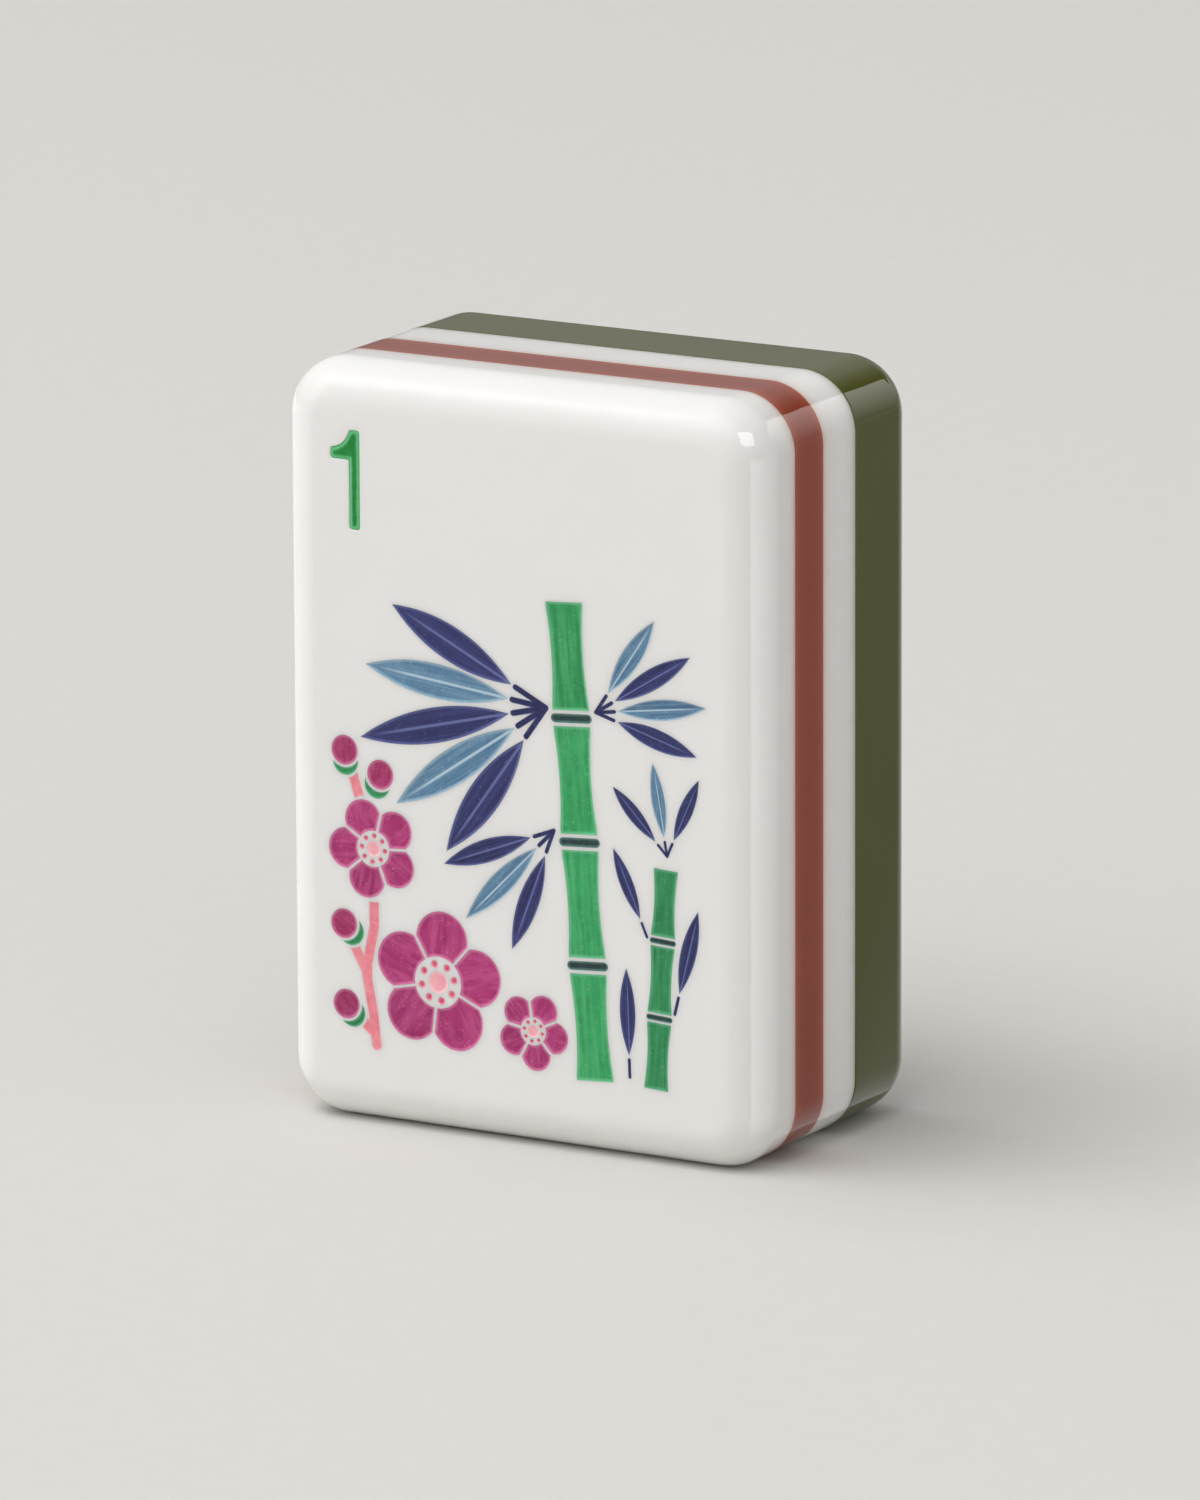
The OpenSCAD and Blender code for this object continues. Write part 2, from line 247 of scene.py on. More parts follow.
# Stamps enamel drops on the points of the picture: each point says which drop, its turn and its stretch
def stampTree():
    tree, given = newTree("enamelStamp", [
        ("Points", "Geometry"), ("Drops", "Collection"), ("Material", "Material")])
    drops = addNode(tree, "GeometryNodeCollectionInfo", {
        "Collection": given["Drops"], "Separate Children": True, "Reset Children": True}).outputs[0]
    kind = pointValue(tree, "kind", "INT")
    turn = pointValue(tree, "turn", "FLOAT")
    stretch = pointValue(tree, "stretch", "FLOAT_VECTOR")
    spin = addNode(tree, "FunctionNodeAxisAngleToRotation", {"Axis": (0, -1, 0), "Angle": turn}).outputs[0]
    stamped = addNode(tree, "GeometryNodeInstanceOnPoints", {
        "Points": given["Points"], "Instance": drops, "Pick Instance": True, "Instance Index": kind,
        "Rotation": spin, "Scale": stretch}).outputs[0]
    endTree(tree, stamped, given["Material"])
    return tree


# A drop of enamel: rings of its outline from the pocket's floor to the rim and in to the dished middle
def dropMesh(name, outline, levels, floor):
    bm = bmesh.new()
    shore = bm.verts.layers.float.new("shore")          # 0 at the rim, 1 in the middle
    uv = bm.loops.layers.uv.new("UVMap")                # over the outline's own box
    rimGrow, middleGrow = levels[0][0], levels[-1][0]
    rings = []
    for grow, depth in [(rimGrow, floor)] + levels:
        ring = [bm.verts.new((x, depth, z)) for x, z in outline(grow)]
        for vert in ring:
            vert[shore] = (rimGrow - grow) / (rimGrow - middleGrow)
        rings.append(ring)
    for outer, inner in zip(rings, rings[1:]):
        for i in range(len(outer)):
            bm.faces.new((outer[i - 1], outer[i], inner[i], inner[i - 1]))
    bm.faces.new(rings[-1])
    bm.faces.new(rings[0][::-1])
    xs, zs = zip(*outline(0))
    for face in bm.faces:
        for loop in face.loops:
            x, _, z = loop.vert.co
            loop[uv].uv = ((x - min(xs)) / (max(xs) - min(xs)), (z - min(zs)) / (max(zs) - min(zs)))
    mesh = bpy.data.meshes.new(name)
    bm.to_mesh(mesh)
    bm.free()
    return mesh


# Enamel of crossing strokes, trimmed by discs: strokes are (start, end, half width), discs (x, z, radius)
def strokeMesh(name, strokes, discs, levels, floor):
    rimGrow, rimDepth = levels[0]
    middleGrow, middleDepth = levels[-1]
    outlines, wanted, barred = [], set(), set()
    for grow, _ in levels:
        for start, end, half in strokes:
            if grow == rimGrow:
                wanted.add(len(outlines))
            outlines.append(strokeOutline(start, end, half + grow))
        for x, z, radius in discs:
            if grow == rimGrow:
                barred.add(len(outlines))
            outlines.append(ringOutline(x, z, radius - grow, engraving["discSteps"]))
    points, triangles, owners, _ = cutPlane(outlines)
    kept = [t for t, own in zip(triangles, owners) if own & wanted and not own & barred]
    bm = bmesh.new()
    shore = bm.verts.layers.float.new("shore")
    top, bottom = {}, {}
    for i in {i for t in kept for i in t}:
        grow = strokeReach(points[i], strokes, discs)
        share = min(1, max(0, (rimGrow - grow) / (rimGrow - middleGrow)))
        depth = rimDepth + share * (middleDepth - rimDepth)
        top[i] = bm.verts.new((points[i].x, depth, points[i].y))
        top[i][shore] = share
        bottom[i] = bm.verts.new((points[i].x, floor, points[i].y))
    edges = {(t[k - 1], t[k]) for t in kept for k in range(3)}
    for t in kept:
        bm.faces.new([top[i] for i in t])
        bm.faces.new([bottom[i] for i in reversed(t)])
    for a, b in edges:
        if (b, a) not in edges:
            bm.faces.new((top[b], top[a], bottom[a], bottom[b]))
    mesh = bpy.data.meshes.new(name)
    bm.to_mesh(mesh)
    bm.free()
    return mesh


# How far a point lies outside the strokes' outline: negative inside
def strokeReach(point, strokes, discs):
    reach = 1
    for start, end, half in strokes:
        a, run = Vector(start), Vector(end) - Vector(start)
        share = min(1, max(0, (point - a).dot(run) / run.length_squared))
        reach = min(reach, (point - a - run * share).length - half)
    for x, z, radius in discs:
        reach = max(reach, radius - (point - Vector((x, z))).length)
    return reach


tile = dict(
    width=cadHigh.x - cadLow.x,
    height=cadHigh.z - cadLow.z,
    cornerRadius=2.3 * mm,
    edgeRound=1.7 * mm,        # front edge of the face block and rear edge of the back
    seamEase=0.12 * mm,        # front edge of the back, where it meets the white band
    cornerSteps=24,
    roundSteps=24,
    margin=0.05 * mm,          # flat strip beside each round, for clean reflections
    mergeWithin=0.0001 * mm,
)
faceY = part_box("face_block")[0].y

engraving = dict(
    pocketDepth=0.35 * mm,
    pocketGap=0.02 * mm,       # pocket wall outside the drawn outline
    enamelFloor=0.34 * mm,
    land=0.14 * mm,            # white left between neighbouring shapes
    # outline growth and depth of each ring of a drop, from the rim to the middle
    levels=[(0.016 * mm, 0.012 * mm), (-0.02 * mm, 0.02 * mm), (-0.06 * mm, 0.032 * mm),
            (-0.1 * mm, 0.04 * mm), (-0.125 * mm, 0.042 * mm)],
    strokeLevels=[(0.016 * mm, 0.012 * mm), (-0.025 * mm, 0.02 * mm)],
    discSteps=64,              # sides of the discs that trim the twigs
)

numeral = dict(
    height=3.85 * mm, stem=0.44 * mm, reach=0.83 * mm, flagEnd=0.41 * mm, rise=0.72 * mm,
    sideGap=0.73 * mm, topGap=0.9 * mm, arcSteps=36, stepLong=0.03 * mm, softRounds=18,
    # outline growth and depth: the white edge, from the flat face inwards, then the domed enamel
    lip=[(0.08 * mm, 0), (0.055 * mm, 0), (0.04 * mm, 0.006 * mm), (0.027 * mm, 0.02 * mm),
         (0.02 * mm, 0.045 * mm)],
    levels=[(0.016 * mm, 0.08 * mm), (-0.006 * mm, 0.056 * mm), (-0.03 * mm, 0.038 * mm),
            (-0.06 * mm, 0.026 * mm), (-0.095 * mm, 0.019 * mm), (-0.14 * mm, 0.015 * mm),
            (-0.195 * mm, 0.014 * mm)],
)
numeral["x"] = tile["edgeRound"] + numeral["sideGap"] - tile["width"] / 2
numeral["z"] = tile["height"] - tile["edgeRound"] - numeral["topGap"] - numeral["height"]


def numeralOutline(grow):
    n = numeral
    left, right, top = n["reach"] - grow, n["reach"] + n["stem"] + grow, n["height"] + grow
    flagFoot = n["height"] - n["rise"] - n["flagEnd"]
    bend = (n["reach"] ** 2 + n["rise"] ** 2) / (2 * n["rise"])
    arcZ, radius = n["height"] - n["rise"] + bend, bend - grow
    arcEnd = min(-math.acos(min(1, left / radius)), math.asin((top - arcZ) / radius))
    arcStart = -halfTurn / 2 - math.asin(grow / radius)
    outline = [(left, -grow), (right, -grow), (right, top), (left, top)]
    outline += arcPoints(0, arcZ, radius, arcEnd, arcStart, n["arcSteps"])
    outline += [(-grow, flagFoot - grow), (left, flagFoot - grow)]
    edges = [n["stem"], n["height"], n["stem"]] + [n["stepLong"]] * (n["arcSteps"] + 1)
    edges += [n["flagEnd"], n["reach"], n["height"] - n["rise"] - n["flagEnd"]]
    steps = [math.ceil(edge / n["stepLong"]) for edge in edges]
    return placed(softOutline(outline, steps, n["softRounds"]), n["x"], n["z"], 0)


# The picture's shapes are shares of its width, from the middle of its foot
picture = dict(sideGap=0.5 * mm, footGap=1.1 * mm, headGap=1.4 * mm, tallShare=1.12)
pictureWide = tile["width"] - 2 * (tile["edgeRound"] + picture["sideGap"])
fieldFoot = tile["edgeRound"] + picture["footGap"]
fieldTall = numeral["z"] - picture["headGap"] - fieldFoot
pictureFoot = fieldFoot + (fieldTall - pictureWide * picture["tallShare"]) / 2


def atShare(share):
    return pictureWide * share[0], pictureFoot + pictureWide * share[1]


canes = {
    "tall": dict(foot=(0.205, 0), lean=4, joints=4, joint=0.248, wide=0.094),
    "short": dict(foot=(0.365, 0), lean=-3, joints=3, joint=0.155, wide=0.06),
}
caneShape = dict(ringSpace=0.42, ringTall=0.2, ringWide=1.12, hollow=0.07, lip=0.12, arcSteps=16)


def jointOutline(cane, grow):
    wide, tall = pictureWide * cane["wide"], pictureWide * cane["joint"]
    hollow, reach = wide * caneShape["hollow"], tall / 2 - wide * caneShape["lip"]
    bend = (reach ** 2 + hollow ** 2) / (2 * hollow) - grow
    half, arcX = wide / 2 + grow, wide / 2 - hollow + bend + grow
    swing = math.acos((bend - hollow) / bend)
    steps = caneShape["arcSteps"]
    right = arcPoints(arcX, tall / 2, bend, halfTurn + swing, halfTurn - swing, steps)
    left = arcPoints(-arcX, tall / 2, bend, swing, -swing, steps)
    return [(-half, -grow), (half, -grow)] + right + [(half, tall + grow), (-half, tall + grow)] + left


def caneRingOutline(grow):
    wide = pictureWide * canes["tall"]["wide"]
    bar = wide * caneShape["ringTall"]
    half = (wide * caneShape["ringWide"] - bar) / 2
    return strokeOutline((-half, 0), (half, 0), bar / 2 + grow)


def caneStamps(cane, rings):
    wide, tall = pictureWide * cane["wide"], pictureWide * cane["joint"]
    pitch = tall + wide * caneShape["ringSpace"]
    lean = math.radians(cane["lean"])
    size = cane["wide"] / canes["tall"]["wide"] if rings else 1
    for i in range(1 if rings else 0, cane["joints"]):
        up = i * pitch - (wide * caneShape["ringSpace"] / 2 if rings else 0)
        x, z = placed([(0, up)], *atShare(cane["foot"]), lean)[0]
        yield x, z, lean, size, size


sprays = [
    # base, heading, angle between leaves, leaves, length
    ((0.08, 0.858), 194, 20, 5, 0.4), ((0.099, 0.574), 225, 24, 3, 0.26), ((0.21, 0.862), 20, 24, 4, 0.235),
    ((0.395, 0.548), 100, 34, 3, 0.17), ((0.414, 0.182), 76, 0, 1, 0.2), ((0.342, 0.354), 114, 0, 1, 0.17),
    ((0.296, 0.02), 92, 0, 1, 0.2),
]
leaf = dict(wide=0.2, start=0.26, shorter=0.07, stalkWide=0.03, arcSteps=22)
leafFull = pictureWide * max(spray[-1] for spray in sprays)


def leafOutline(grow):
    wide = leafFull * leaf["wide"]
    bend = (leafFull ** 2 + wide ** 2) / (4 * wide)
    offset, radius = bend - wide / 2, bend + grow
    swing, quarter = math.acos(offset / radius), halfTurn / 2
    middle, steps = leafFull / 2, leaf["arcSteps"]
    lower = arcPoints(middle, offset, radius, -quarter - swing, swing - quarter, steps)
    upper = arcPoints(middle, -offset, radius, quarter - swing, quarter + swing, steps)
    return lower[:-1] + upper[:-1]


def leafStamps(first):
    for base, heading, fan, leaves, length in sprays:
        full, middle = pictureWide * length, (leaves - 1) / 2
        for i in range(first, leaves, 2):
            turn = math.radians(heading + (i - middle) * fan)
            x, z = placed([(full * leaf["start"], 0)], *atShare(base), turn)[0]
            along = full * (1 - leaf["shorter"] * abs(i - middle)) / leafFull
            yield x, z, turn, along, full / leafFull


def stalkStrokes():
    for base, heading, fan, leaves, length in sprays:
        full, middle = pictureWide * length, (leaves - 1) / 2
        half = full * leaf["stalkWide"] / 2
        for i in range(leaves):
            turn = math.radians(heading + (i - middle) * fan)
            tip = full * leaf["start"] - engraving["land"] - half
            yield atShare(base), placed([(tip, 0)], *atShare(base), turn)[0], half


blossoms = [((-0.21, 0.18), 0.168, 12), ((-0.38, 0.475), 0.118, 40), ((0.042, 0.096), 0.092, -10)]
blossom = dict(petals=5, middle=0.6, radius=0.4, start=0.37, heart=0.15, stamens=8, ring=0.26, stamen=0.05,
               outerSteps=40, innerSteps=14, heartSteps=36, stamenSteps=24)
bloomFull = pictureWide * max(size for _, size, _ in blossoms)


def petalOutline(full, grow):
    half = halfTurn / blossom["petals"]
    tip = (engraving["land"] / 2 - grow) / math.sin(half)
    middle, radius = full * blossom["middle"], full * blossom["radius"] + grow
    start = full * blossom["start"] - grow
    reach = middle - tip
    outerRun = reach * math.cos(half) + math.sqrt(radius ** 2 - (reach * math.sin(half)) ** 2)
    innerRun = math.sqrt(start ** 2 - (tip * math.sin(half)) ** 2) - tip * math.cos(half)
    outer = math.atan2(outerRun * math.sin(half), tip + outerRun * math.cos(half) - middle)
    inner = math.atan2(innerRun * math.sin(half), tip + innerRun * math.cos(half))
    outside = arcPoints(middle, 0, radius, -outer, outer, blossom["outerSteps"])
    return outside + arcPoints(0, 0, start, inner, -inner, blossom["innerSteps"])


def petalStamps(place, turn):
    for i in range(blossom["petals"]):
        yield *atShare(place), math.radians(turn) + 2 * halfTurn * i / blossom["petals"], 1, 1


def heartStamps():
    for place, size, turn in blossoms:
        scale = pictureWide * size / bloomFull
        yield *atShare(place), math.radians(turn), scale, scale


def stamenStamps():
    for place, size, turn in blossoms:
        full = pictureWide * size
        for i in range(blossom["stamens"]):
            angle = math.radians(turn) + 2 * halfTurn * i / blossom["stamens"]
            x, z = placed([(full * blossom["ring"], 0)], *atShare(place), angle)[0]
            yield x, z, angle, full / bloomFull, full / bloomFull


buds = [((-0.455, 0.7), 95), ((-0.36, 0.652), 70), ((-0.46, 0.29), 140), ((-0.455, 0.1), 130)]
bud = dict(radius=0.034, cupRadius=0.95, cupBack=0.75, steps=40, cupSteps=22)
budRadius = pictureWide * bud["radius"]


def cupOutline(grow):
    back, cup = budRadius * bud["cupBack"], budRadius * bud["cupRadius"] + grow
    cut = budRadius + engraving["land"] - grow
    x = (cup ** 2 - cut ** 2 - back ** 2) / (2 * back)
    z = math.sqrt(cut ** 2 - x ** 2)
    cupTurn, cutTurn = math.atan2(z, x + back), math.atan2(z, x)
    outside = arcPoints(-back, 0, cup, cupTurn, 2 * halfTurn - cupTurn, bud["cupSteps"])
    inside = arcPoints(0, 0, cut, 2 * halfTurn - cutTurn, cutTurn, bud["cupSteps"])
    return outside[:-1] + inside[:-1]


def budStamps():
    for place, heading in buds:
        yield *atShare(place), math.radians(heading), 1, 1


twigs = dict(wide=0.024, runs=[
    ((-0.375, 0.012), (-0.384, 0.09)), ((-0.384, 0.09), (-0.402, 0.185)), ((-0.402, 0.185), (-0.379, 0.29)),
    ((-0.379, 0.29), (-0.38, 0.475)), ((-0.38, 0.475), (-0.45, 0.7)), ((-0.402, 0.185), (-0.21, 0.18)),
    ((-0.402, 0.185), (-0.46, 0.29)), ((-0.38, 0.04), (-0.455, 0.1)),
])


def twigStrokes():
    for start, end in twigs["runs"]:
        yield atShare(start), atShare(end), pictureWide * twigs["wide"] / 2


# Twigs stop clear of the blossoms, the buds and their cups
def twigDiscs():
    for place, size, _ in blossoms:
        yield *atShare(place), pictureWide * size + engraving["land"]
    for place, heading in buds:
        x, z = atShare(place)
        yield x, z, budRadius + engraving["land"]
        cup = placed([(-budRadius * bud["cupBack"], 0)], x, z, math.radians(heading))[0]
        yield *cup, budRadius * bud["cupRadius"] + engraving["land"]


# Shader helpers

def paint(red, green, blue):
    shares = [value / 255 for value in (red, green, blue)]
    return [s / 12.92 if s <= 0.04045 else ((s + 0.055) / 1.055) ** 2.4 for s in shares] + [1]


def shaderGroup(name, inputs, outputs):
    tree = bpy.data.node_groups.new(name, "ShaderNodeTree")
    for label, kind in inputs:
        tree.interface.new_socket(label, in_out="INPUT", socket_type="NodeSocket" + kind)
    for label in outputs:
        tree.interface.new_socket(label, in_out="OUTPUT", socket_type="NodeSocketFloat")
    return tree, tree.nodes.new("NodeGroupInput").outputs, tree.nodes.new("NodeGroupOutput").inputs


def useGroup(tree, group, inputs):
    return addNode(tree, "ShaderNodeGroup", inputs, node_tree=group).outputs


def newMaterial(name, **values):
    material = bpy.data.materials.new(name)
    material.use_nodes = True
    tree = material.node_tree
    shader = next(n for n in tree.nodes if n.type == "BSDF_PRINCIPLED")
    for key, value in values.items():
        shader.inputs[key.replace("_", " ")].default_value = value
    place = addNode(tree, "ShaderNodeTexCoord").outputs["Object"]
    return material, tree, shader.inputs, place


def noise(tree, place, size, detail=2, roughness=0.5):
    return addNode(tree, "ShaderNodeTexNoise", {
        "Vector": place, "Scale": 1 / size, "Detail": detail, "Roughness": roughness}).outputs[0]


def remap(tree, value, low, high, toLow=0, toHigh=1):
    return addNode(tree, "ShaderNodeMapRange", {
        "Value": value, "From Min": low, "From Max": high, "To Min": toLow, "To Max": toHigh}).outputs[0]


# Sockets 6 and 7 of a mix node are its two colours
def blendColours(tree, share, first, second):
    return addNode(tree, "ShaderNodeMix", {0: share, 6: first, 7: second}, data_type="RGBA").outputs[2]


def bumpNormal(tree, height, distance):
    return addNode(tree, "ShaderNodeBump", {"Height": height, "Distance": distance, "Strength": 1}).outputs[0]


polishLook = dict(cloud=6 * mm, wear=0.5 * mm, ripple=2.5 * mm, rippleTall=0.012 * mm, smooth=0.03,
                  rough=0.06, refraction=1.5)
enamelLook = dict(mottle=0.55 * mm, grain=0.13 * mm, spread=0.3 * mm, rippleTall=0.006 * mm, smooth=0.08,
                  rough=0.16, refraction=1.45, filmReach=(0.1, 0.95))


# Polished cast plastic: a faint cloud in the colour, uneven polish and a slow ripple
def polishGroup():
    tree, given, out = shaderGroup("polish", [("Vector", "Vector")], ["Cloud", "Wear", "Ripple"])
    tree.links.new(noise(tree, given[0], polishLook["cloud"], 3), out["Cloud"])
    tree.links.new(noise(tree, given[0], polishLook["wear"], 4, 0.6), out["Wear"])
    tree.links.new(noise(tree, given[0], polishLook["ripple"], 1), out["Ripple"])
    return tree


# Masks that fade with distance from a layer's seams, with an uneven reach: Outside fades into its neighbours,
# Inside into itself
def seamGroup():
    tree, given, out = shaderGroup("seamBleed", [
        ("Vector", "Vector"), ("Front", "Float"), ("Rear", "Float"), ("Reach", "Float")],
        ["Outside", "Inside"])
    depth = addNode(tree, "ShaderNodeSeparateXYZ", {"Vector": given["Vector"]}).outputs[1]
    middle = calc(tree, "MULTIPLY", calc(tree, "ADD", given["Front"], given["Rear"]), 0.5)
    half = calc(tree, "MULTIPLY", calc(tree, "SUBTRACT", given["Rear"], given["Front"]), 0.5)
    gap = calc(tree, "SUBTRACT", calc(tree, "ABSOLUTE", calc(tree, "SUBTRACT", depth, middle)), half)
    uneven = remap(tree, noise(tree, given["Vector"], 0.7 * mm, 3), 0, 1, 0.6, 1.4)
    share = calc(tree, "DIVIDE", gap, calc(tree, "MULTIPLY", given["Reach"], uneven))
    outside = calc(tree, "EXPONENT", calc(tree, "MULTIPLY", calc(tree, "MAXIMUM", share, 0), -1))
    inside = calc(tree, "EXPONENT", calc(tree, "MINIMUM", share, 0))
    tree.links.new(outside, out["Outside"])
    tree.links.new(inside, out["Inside"])
    return tree


# Enamel pigment: soft mottling, fine flecks and the thin film at a drop's shore
def pigmentGroup():
    tree, given, out = shaderGroup("pigment", [
        ("Vector", "Vector"), ("Shore", "Float"), ("Film Start", "Float"), ("Film End", "Float")],
        ["Mottle", "Fleck", "Film"])
    tree.links.new(noise(tree, given["Vector"], enamelLook["mottle"], 4, 0.65), out["Mottle"])
    grains = addNode(tree, "ShaderNodeTexVoronoi", {
        "Vector": given["Vector"], "Scale": 1 / enamelLook["grain"]}).outputs[0]
    spread = noise(tree, given["Vector"], enamelLook["spread"], 3)
    fleck = calc(tree, "MULTIPLY", remap(tree, grains, 0.34, 0.12), remap(tree, spread, 0.45, 0.7))
    tree.links.new(fleck, out["Fleck"])
    shore = calc(tree, "ADD", given["Shore"], remap(tree, spread, 0.25, 0.75, 0.12, -0.12))
    tree.links.new(remap(tree, shore, given["Film Start"], given["Film End"], 1, 0), out["Film"])
    return tree


# Drawing inside a stamped drop, over its own UV map: streaks that run along it and a rib down its middle
def veinGroup():
    tree, given, out = shaderGroup("veins", [
        ("Vector", "Vector"), ("Seed", "Float"), ("Along", "Float"), ("Across", "Float")],
        ["Streak", "Rib", "Tone"])
    split = addNode(tree, "ShaderNodeSeparateXYZ", {"Vector": given["Vector"]}).outputs
    stretched = addNode(tree, "ShaderNodeCombineXYZ", {
        "X": calc(tree, "MULTIPLY", split[0], given["Along"]),
        "Y": calc(tree, "MULTIPLY", split[1], given["Across"])}).outputs[0]
    streak = addNode(tree, "ShaderNodeTexNoise", {
        "Vector": stretched, "W": given["Seed"], "Scale": 1, "Detail": 2},
        noise_dimensions="4D").outputs[0]
    tree.links.new(remap(tree, streak, 0.4, 0.68), out["Streak"])
    aside = calc(tree, "ABSOLUTE", calc(tree, "SUBTRACT", split[1], 0.5))
    taper = remap(tree, split[0], 0.7, 0.95, 1, 0)
    rib = calc(tree, "MULTIPLY", remap(tree, aside, 0.02, 0.055, 1, 0), taper)
    tree.links.new(rib, out["Rib"])
    tone = addNode(tree, "ShaderNodeTexWhiteNoise", {"W": given["Seed"]}, noise_dimensions="1D").outputs[0]
    tree.links.new(tone, out["Tone"])
    return tree


groups = dict(polish=polishGroup(), seam=seamGroup(), pigment=pigmentGroup(), veins=veinGroup())
stripeFront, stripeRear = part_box("rust_stripe")[0].y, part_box("rust_stripe")[1].y
backFront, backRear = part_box("green_back")[0].y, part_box("green_back")[1].y

# The white's two seam colours are painted shade: a warm one beside the rust stripe, standing in for light
# scattered through the plastic, and a grey one beside the olive back
whiteLook = dict(body=paint(232, 231, 229), cloud=paint(228, 227, 224), paintedRustShade=paint(216, 196, 188),
                 reach=0.3 * mm, paintedSeamShade=paint(178, 178, 166), paintedShadeReach=0.22 * mm, depthWeight=0.5,
                 depthRadius=(1, 1, 0.95), depthScale=0.6 * mm)
rustLook = dict(body=paint(143, 62, 40), cloud=paint(133, 56, 37), rim=paint(170, 84, 60), reach=0.22 * mm)
oliveLook = dict(body=paint(79, 80, 24), cloud=paint(72, 74, 21))


# Shared polish: roughness from the wear, a ripple in the reflections
def polishPlastic(tree, sockets, place):
    polish = useGroup(tree, groups["polish"], {"Vector": place})
    roughness = remap(tree, polish["Wear"], 0.3, 0.8, polishLook["smooth"], polishLook["rough"])
    tree.links.new(roughness, sockets["Roughness"])
    tree.links.new(bumpNormal(tree, polish["Ripple"], polishLook["rippleTall"]), sockets["Normal"])
    return polish["Cloud"]


def whitePlastic():
    material, tree, sockets, place = newMaterial(
        "whitePlastic", IOR=polishLook["refraction"], Subsurface_Weight=whiteLook["depthWeight"],
        Subsurface_Radius=whiteLook["depthRadius"], Subsurface_Scale=whiteLook["depthScale"])
    cloud = polishPlastic(tree, sockets, place)
    body = blendColours(tree, cloud, whiteLook["body"], whiteLook["cloud"])
    # Painted warm shade on the white beside the rust stripe, standing in for light scattered through the
    # plastic
    seam = useGroup(tree, groups["seam"], {
        "Vector": place, "Front": stripeFront, "Rear": stripeRear, "Reach": whiteLook["reach"]})
    body = blendColours(tree, seam["Outside"], body, whiteLook["paintedRustShade"])
    # Painted shade on the white beside the olive back, darker towards the seam between the two parts
    paintedSeamShade = useGroup(tree, groups["seam"], {
        "Vector": place, "Front": backFront, "Rear": backRear, "Reach": whiteLook["paintedShadeReach"]})
    body = blendColours(tree, paintedSeamShade["Outside"], body, whiteLook["paintedSeamShade"])
    tree.links.new(body, sockets["Base Color"])
    return material


def rustPlastic():
    material, tree, sockets, place = newMaterial("rustPlastic", IOR=polishLook["refraction"])
    cloud = polishPlastic(tree, sockets, place)
    body = blendColours(tree, cloud, rustLook["body"], rustLook["cloud"])
    # Lighter rust within reach of each of its seams
    seam = useGroup(tree, groups["seam"], {
        "Vector": place, "Front": stripeFront, "Rear": stripeRear, "Reach": rustLook["reach"]})
    body = blendColours(tree, seam["Inside"], body, rustLook["rim"])
    tree.links.new(body, sockets["Base Color"])
    return material


def olivePlastic():
    material, tree, sockets, place = newMaterial("olivePlastic", IOR=polishLook["refraction"])
    cloud = polishPlastic(tree, sockets, place)
    tree.links.new(blendColours(tree, cloud, oliveLook["body"], oliveLook["cloud"]), sockets["Base Color"])
    return material


# Enamel: deep and pale pigment mottled together, flecks of a third, a thin paler film at the shore, and
# where the drop has a UV map, streaks and a rib
def enamel(name, look):
    material, tree, sockets, place = newMaterial(name, IOR=enamelLook["refraction"])
    shore = addNode(tree, "ShaderNodeAttribute", attribute_name="shore").outputs["Fac"]
    filmStart, filmEnd = look.get("filmReach", enamelLook["filmReach"])
    pigment = useGroup(tree, groups["pigment"], {
        "Vector": place, "Shore": shore, "Film Start": filmStart, "Film End": filmEnd})
    share = remap(tree, pigment["Mottle"], 0.32, 0.7)
    if "grain" in look:
        along, across = look["grain"]
        uv = addNode(tree, "ShaderNodeUVMap", uv_map="UVMap").outputs[0]
        seed = addNode(tree, "ShaderNodeAttribute", attribute_name="seed").outputs["Fac"]
        veins = useGroup(tree, groups["veins"], {
            "Vector": uv, "Seed": seed, "Along": along, "Across": across})
        share = calc(tree, "MULTIPLY_ADD", veins["Tone"], 0.5, calc(tree, "MULTIPLY", share, 0.6))
    body = blendColours(tree, share, paint(*look["deep"]), paint(*look["pale"]))
    if "grain" in look:
        body = blendColours(tree, calc(tree, "MULTIPLY", veins["Streak"], 0.45), body, paint(*look["streak"]))
    if "rib" in look:
        body = blendColours(tree, calc(tree, "MULTIPLY", veins["Rib"], 0.8), body, paint(*look["rib"]))
    body = blendColours(tree, calc(tree, "MULTIPLY", pigment["Fleck"], 0.4), body, paint(*look["fleck"]))
    body = blendColours(tree, calc(tree, "MULTIPLY", pigment["Film"], 0.85), body, paint(*look["film"]))
    tree.links.new(body, sockets["Base Color"])
    roughness = remap(tree, pigment["Mottle"], 0.3, 0.7, enamelLook["smooth"], enamelLook["rough"])
    tree.links.new(roughness, sockets["Roughness"])
    tree.links.new(bumpNormal(tree, pigment["Mottle"], enamelLook["rippleTall"]), sockets["Normal"])
    return material


# Layers

layers = {
    # node: front round, rear round, slot, material
    "face_block": (tile["edgeRound"], 0, "white_plastic", "white"),
    "rust_stripe": (0, 0, "rust_plastic", "rust"),
    "white_band": (0, 0, "white_plastic", "white"),
    "green_back": (tile["seamEase"], tile["edgeRound"], "olive_plastic", "olive"),
}
plastics = dict(white=whitePlastic(), rust=rustPlastic(), olive=olivePlastic())
sweep = layerTree()


# Open end of a swept layer, in order round the tile
def endRing(bm, y):
    ring = [v for v in bm.verts if v.is_boundary and abs(v.co.y - y) < 1e-6]
    return sorted(ring, key=lambda v: math.atan2(v.co.z - tile["height"] / 2, v.co.x))


def pocketOutlines():
    gap = engraving["pocketGap"]
    for drops, stamps in picturePieces():
        for kind, x, z, turn, along, across in stamps:
            yield placed(drops[kind](gap), x, z, turn, along, across)
    for start, end, half in stalkStrokes():
        yield strokeOutline(start, end, half + gap)


